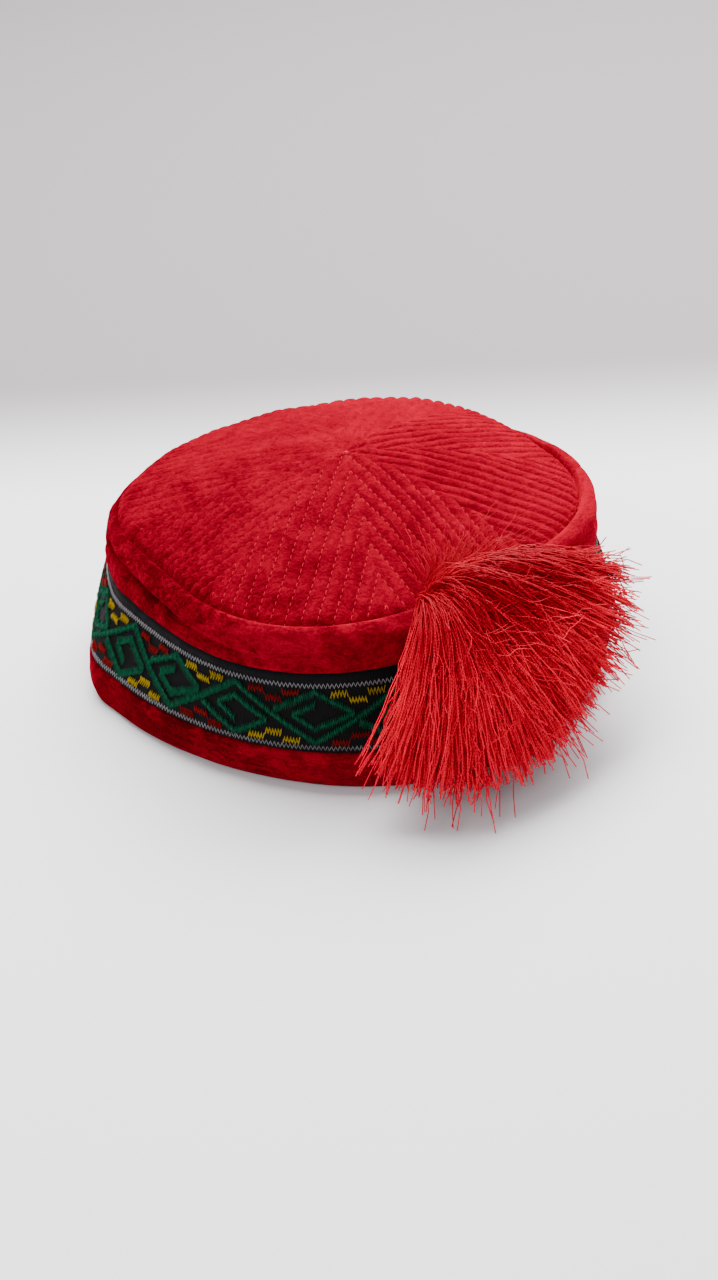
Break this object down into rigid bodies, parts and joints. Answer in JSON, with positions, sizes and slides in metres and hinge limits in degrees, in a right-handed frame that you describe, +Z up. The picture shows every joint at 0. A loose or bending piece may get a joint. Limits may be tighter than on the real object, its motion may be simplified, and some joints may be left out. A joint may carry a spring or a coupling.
{
  "type": "tubeteika skullcap",
  "caption": "Round velvet skullcap with a domed, quilted crown, a rolled side wall, a woven ribbon band and a silk tassel at the front right.",
  "frame": {"origin": "centre of the head opening, on the plane of the hem that the cap stands on", "axes": "+Z up through the crown, -Y to the front, +X to the side that the tassel falls towards"},
  "size_m": [0.1939, 0.2218, 0.0759],
  "materials": {
    "red_velvet": "short dense velvet pile",
    "black_ribbon": "woven satin ribbon with a coloured pattern",
    "red_silk": "glossy silk thread"
  },
  "bodies": {
    "root": {"crown": "red_velvet", "side_wall": "red_velvet", "ribbon_band": "black_ribbon", "tassel": "red_silk"}
  },
  "joints": []
}
